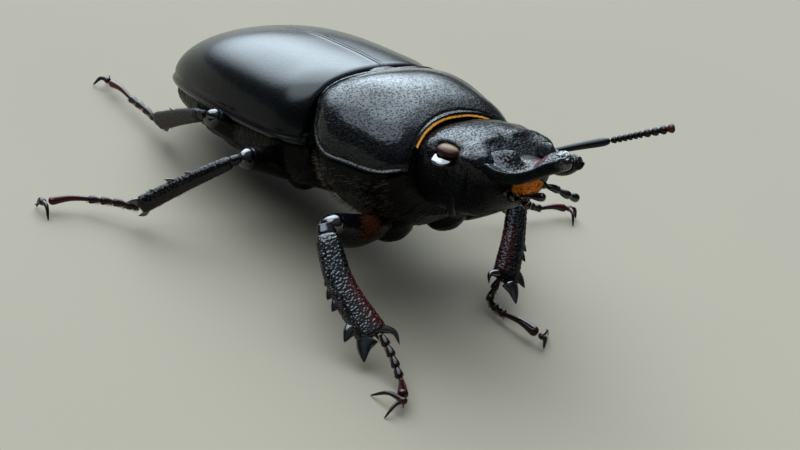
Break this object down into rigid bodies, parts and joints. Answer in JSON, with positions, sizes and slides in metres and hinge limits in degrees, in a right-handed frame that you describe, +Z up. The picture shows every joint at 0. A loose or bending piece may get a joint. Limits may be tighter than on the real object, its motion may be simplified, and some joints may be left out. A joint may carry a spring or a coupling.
{
  "type": "female stag beetle",
  "caption": "Life-size female stag beetle standing with its fore body raised: short jaws, domed wing cases, flattened toothed front shins, elbowed feelers.",
  "frame": {"origin": "middle of the box around the whole beetle in plan, on the floor it stands on", "axes": "+Z up from the floor, +Y towards the tail, -Y towards the head, -X the right side of the beetle"},
  "size_m": [0.0434, 0.0446, 0.017],
  "materials": {
    "smooth_shell": "black shell, smooth, soft broad gloss",
    "textured_shell": "black shell, finely wrinkled and pitted, satin",
    "leg": "black-brown, grainy with wet highlights",
    "foot": "dark red-brown, glossy",
    "mouthparts": "black, glossy",
    "antenna": "black, satin, the club grey with down",
    "eye": "dark red-brown, polished",
    "brush": "orange hair"
  },
  "bodies": {
    "root": {"pronotum": "textured_shell", "head": "textured_shell", "prosternum": "smooth_shell", "scutellum": "smooth_shell", "metathorax": "smooth_shell", "abdomen": "smooth_shell", "elytron_right": "smooth_shell", "elytron_left": "smooth_shell", "labrum": "mouthparts", "mandible_right": "mouthparts", "mandible_left": "mouthparts", "maxillary_palp_right": "mouthparts", "maxillary_palp_left": "mouthparts", "labial_palp_right": "mouthparts", "labial_palp_left": "mouthparts", "eye_right": "eye", "eye_left": "eye", "mouth_brush_right": "brush", "mouth_brush_left": "brush", "antenna_scape_right": "antenna", "antenna_funicle_right": "antenna", "antenna_club_right": "antenna", "antenna_scape_left": "antenna", "antenna_funicle_left": "antenna", "antenna_club_left": "antenna", "coxa_front_right": "leg", "femur_front_right": "leg", "tibia_front_right": "leg", "tarsus_front_right": "foot", "claws_front_right": "foot", "coxa_front_left": "leg", "femur_front_left": "leg", "tibia_front_left": "leg", "tarsus_front_left": "foot", "claws_front_left": "foot", "coxa_middle_right": "leg", "femur_middle_right": "leg", "tibia_middle_right": "leg", "tarsus_middle_right": "foot", "claws_middle_right": "foot", "coxa_middle_left": "leg", "femur_middle_left": "leg", "tibia_middle_left": "leg", "tarsus_middle_left": "foot", "claws_middle_left": "foot", "coxa_hind_right": "leg", "femur_hind_right": "leg", "tibia_hind_right": "leg", "tarsus_hind_right": "foot", "claws_hind_right": "foot", "coxa_hind_left": "leg", "femur_hind_left": "leg", "tibia_hind_left": "leg", "tarsus_hind_left": "foot", "claws_hind_left": "foot"}
  },
  "joints": []
}
